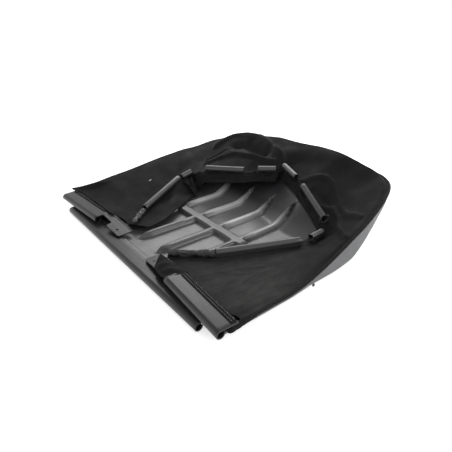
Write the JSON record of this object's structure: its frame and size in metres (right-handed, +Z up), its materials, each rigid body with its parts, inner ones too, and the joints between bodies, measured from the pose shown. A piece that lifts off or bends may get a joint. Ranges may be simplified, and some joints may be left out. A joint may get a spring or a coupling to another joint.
{
  "type": "mower grass collection bag",
  "caption": "Grass collection bag of a lawn mower, folded flat: ribbed plastic pan, fabric sides and rear turned inward, clip channels along the front and clips on the hem.",
  "frame": {"origin": "on the ground, under the middle of the bag's bounding box", "axes": "+X along the front edge, +Y from the front channel to the raised rear edge, +Z up"},
  "size_m": [0.5138, 0.4428, 0.1182],
  "materials": {
    "pan_plastic": "satin moulded",
    "channel_plastic": "extruded satin",
    "bag_fabric": "fine woven mesh",
    "binding_tape": "woven tape"
  },
  "bodies": {
    "root": {"moulded_pan": "pan_plastic", "binding_right": "binding_tape", "binding_rear": "binding_tape", "binding_left": "binding_tape", "wall_stud": "pan_plastic", "bottom_front_channel": "channel_plastic", "left_front_channel": "channel_plastic", "left_flange_tape": "binding_tape", "right_front_channel": "channel_plastic", "right_flange_tape": "binding_tape", "clip_right_long": "channel_plastic", "clip_right_short": "channel_plastic", "clip_rear_right_long": "channel_plastic", "clip_rear_right_short": "channel_plastic", "clip_rear_left_short": "channel_plastic", "clip_rear_left_long": "channel_plastic", "clip_left_short": "channel_plastic", "clip_left_long": "channel_plastic", "fabric_right": "bag_fabric", "fabric_rear": "bag_fabric", "fabric_left": "bag_fabric", "hem_right": "bag_fabric", "hem_rear": "bag_fabric", "hem_left": "bag_fabric", "hem_end_right": "bag_fabric", "hem_end_left": "bag_fabric"}
  },
  "joints": []
}
